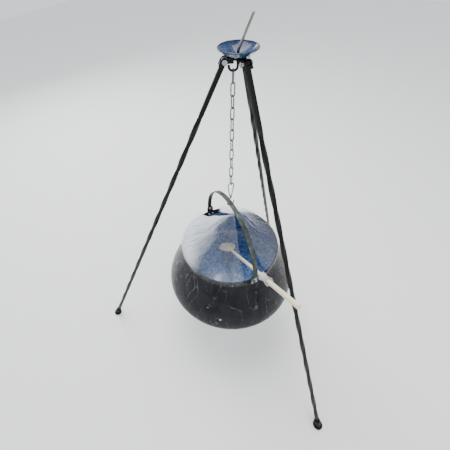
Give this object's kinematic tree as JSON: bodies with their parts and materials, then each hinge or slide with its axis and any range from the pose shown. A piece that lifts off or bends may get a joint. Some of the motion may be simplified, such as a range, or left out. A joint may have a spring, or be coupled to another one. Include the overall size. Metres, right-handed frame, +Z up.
{
  "type": "campfire cooking tripod with hanging kettle",
  "caption": "Campfire cooking tripod with twisted square-bar legs, a small dished head, a hook and chain, and an enamelled kettle on a strap bail with a wooden spoon and a clear film wrap.",
  "frame": {"origin": "middle of the box round the three feet, on the ground", "axes": "X to the right across the two near feet, Y towards the back foot, Z up the tripod's height"},
  "size_m": [0.8908, 0.7754, 1.1235],
  "materials": {
    "blue_enamel": "gloss",
    "black_paint": "satin",
    "zinc_steel": "satin",
    "galvanised_chain": "satin",
    "black_enamel": "satin",
    "strap_steel": "satin",
    "spoon_wood": "matt",
    "clear_film": "gloss"
  },
  "bodies": {
    "head": {"head_dish": "blue_enamel", "head_plate": "black_paint", "leg_bolts": "zinc_steel", "leg_nuts": "zinc_steel"},
    "leg_back_group": {"leg_back": "black_paint", "foot_back": "black_paint"},
    "leg_left_group": {"leg_left": "black_paint", "foot_left": "black_paint"},
    "leg_right_group": {"leg_right": "black_paint", "foot_right": "black_paint"},
    "hook": {"top_hook": "black_paint", "hook_washer": "zinc_steel", "hook_nut": "zinc_steel"},
    "link_01": {"chain_link_01": "galvanised_chain"},
    "link_02": {"chain_link_02": "galvanised_chain"},
    "link_03": {"chain_link_03": "galvanised_chain"},
    "link_04": {"chain_link_04": "galvanised_chain"},
    "link_05": {"chain_link_05": "galvanised_chain"},
    "link_06": {"chain_link_06": "galvanised_chain"},
    "link_07": {"chain_link_07": "galvanised_chain"},
    "link_08": {"chain_link_08": "galvanised_chain"},
    "link_09": {"chain_link_09": "galvanised_chain"},
    "link_10": {"chain_link_10": "galvanised_chain"},
    "link_11": {"chain_link_11": "galvanised_chain"},
    "kettle_hook": {"kettle_hook": "galvanised_chain"},
    "bail": {"bail": "strap_steel"},
    "kettle": {"kettle": "black_enamel", "ear_back": "strap_steel", "ear_front": "strap_steel", "ear_rivets": "zinc_steel", "bail_pivots": "zinc_steel", "film_wrap": "clear_film"},
    "spoon": {"wooden_spoon": "spoon_wood"}
  },
  "joints": [
    {"name": "leg_back_fold", "type": "hinge", "parent": "head", "child": "leg_back_group", "pos_m": [0, -0.09695, 1.03994], "axis": [-1, 0, 0], "range_deg": [0, 5]},
    {"name": "leg_left_fold", "type": "hinge", "parent": "head", "child": "leg_left_group", "pos_m": [-0.02364, -0.1379, 1.03994], "axis": [0.5, -0.866, 0], "range_deg": [0, 5]},
    {"name": "leg_right_fold", "type": "hinge", "parent": "head", "child": "leg_right_group", "pos_m": [0.02364, -0.1379, 1.03994], "axis": [0.5, 0.866, 0], "range_deg": [0, 5]},
    {"name": "hook_swivel", "type": "hinge", "parent": "head", "child": "hook", "pos_m": [0, -0.12425, 1.05], "axis": [0, 0, 1], "range_deg": [-75, 1.5]},
    {"name": "link_01_swing", "type": "hinge", "parent": "hook", "child": "link_01", "pos_m": [-0.0079, -0.12856, 1.019], "axis": [0.878, 0.4787, 0], "range_deg": [-3.5, 3.5]},
    {"name": "link_02_swing", "type": "hinge", "parent": "link_01", "child": "link_02", "pos_m": [-0.0079, -0.12856, 0.992], "axis": [-0.5962, 0.8028, 0], "range_deg": [-1.8, 1.8]},
    {"name": "link_03_swing", "type": "hinge", "parent": "link_02", "child": "link_03", "pos_m": [-0.0079, -0.12856, 0.964], "axis": [-0.6211, -0.7837, 0], "range_deg": [-5.1, 5.1]},
    {"name": "link_04_swing", "type": "hinge", "parent": "link_03", "child": "link_04", "pos_m": [-0.0079, -0.12856, 0.936], "axis": [0.8443, -0.5358, 0], "range_deg": [-2, 2]},
    {"name": "link_05_swing", "type": "hinge", "parent": "link_04", "child": "link_05", "pos_m": [-0.0079, -0.12856, 0.908], "axis": [0.506, 0.8625, 0], "range_deg": [-5.6, 5.6]},
    {"name": "link_06_swing", "type": "hinge", "parent": "link_05", "child": "link_06", "pos_m": [-0.0079, -0.12856, 0.88], "axis": [-0.8443, 0.5358, 0], "range_deg": [-2.4, 2.4]},
    {"name": "link_07_swing", "type": "hinge", "parent": "link_06", "child": "link_07", "pos_m": [-0.0079, -0.12856, 0.852], "axis": [-0.565, -0.8251, 0], "range_deg": [-6.1, 6.1]},
    {"name": "link_08_swing", "type": "hinge", "parent": "link_07", "child": "link_08", "pos_m": [-0.0079, -0.12856, 0.824], "axis": [0.8049, -0.5934, 0], "range_deg": [-2.9, 2.9]},
    {"name": "link_09_swing", "type": "hinge", "parent": "link_08", "child": "link_09", "pos_m": [-0.0079, -0.12856, 0.796], "axis": [0.6211, 0.7837, 0], "range_deg": [-6.8, 6.8]},
    {"name": "link_10_swing", "type": "hinge", "parent": "link_09", "child": "link_10", "pos_m": [-0.0079, -0.12856, 0.768], "axis": [-0.7615, 0.6481, 0], "range_deg": [-3.6, 3.6]},
    {"name": "link_11_swing", "type": "hinge", "parent": "link_10", "child": "link_11", "pos_m": [-0.0079, -0.12856, 0.74], "axis": [-0.6347, -0.7727, 0], "range_deg": [-7.6, 7.6]},
    {"name": "kettle_hook_swing", "type": "hinge", "parent": "link_11", "child": "kettle_hook", "pos_m": [-0.0079, -0.12856, 0.712], "axis": [0.7837, -0.6211, 0], "range_deg": [-4.8, 4.8]},
    {"name": "bail_swing", "type": "hinge", "parent": "kettle_hook", "child": "bail", "pos_m": [-0.0079, -0.12856, 0.63525], "axis": [0.6211, 0.7837, 0], "range_deg": [-6, 6]},
    {"name": "kettle_tip", "type": "hinge", "parent": "bail", "child": "kettle", "pos_m": [-0.0079, -0.12856, 0.472], "axis": [0.7837, -0.6211, 0], "range_deg": [-10, 10]},
    {"name": "spoon_lift_out", "type": "slide", "parent": "kettle", "child": "spoon", "axis": [0.6131, -0.5521, 0.565], "range_m": [0, 0.15]}
  ]
}
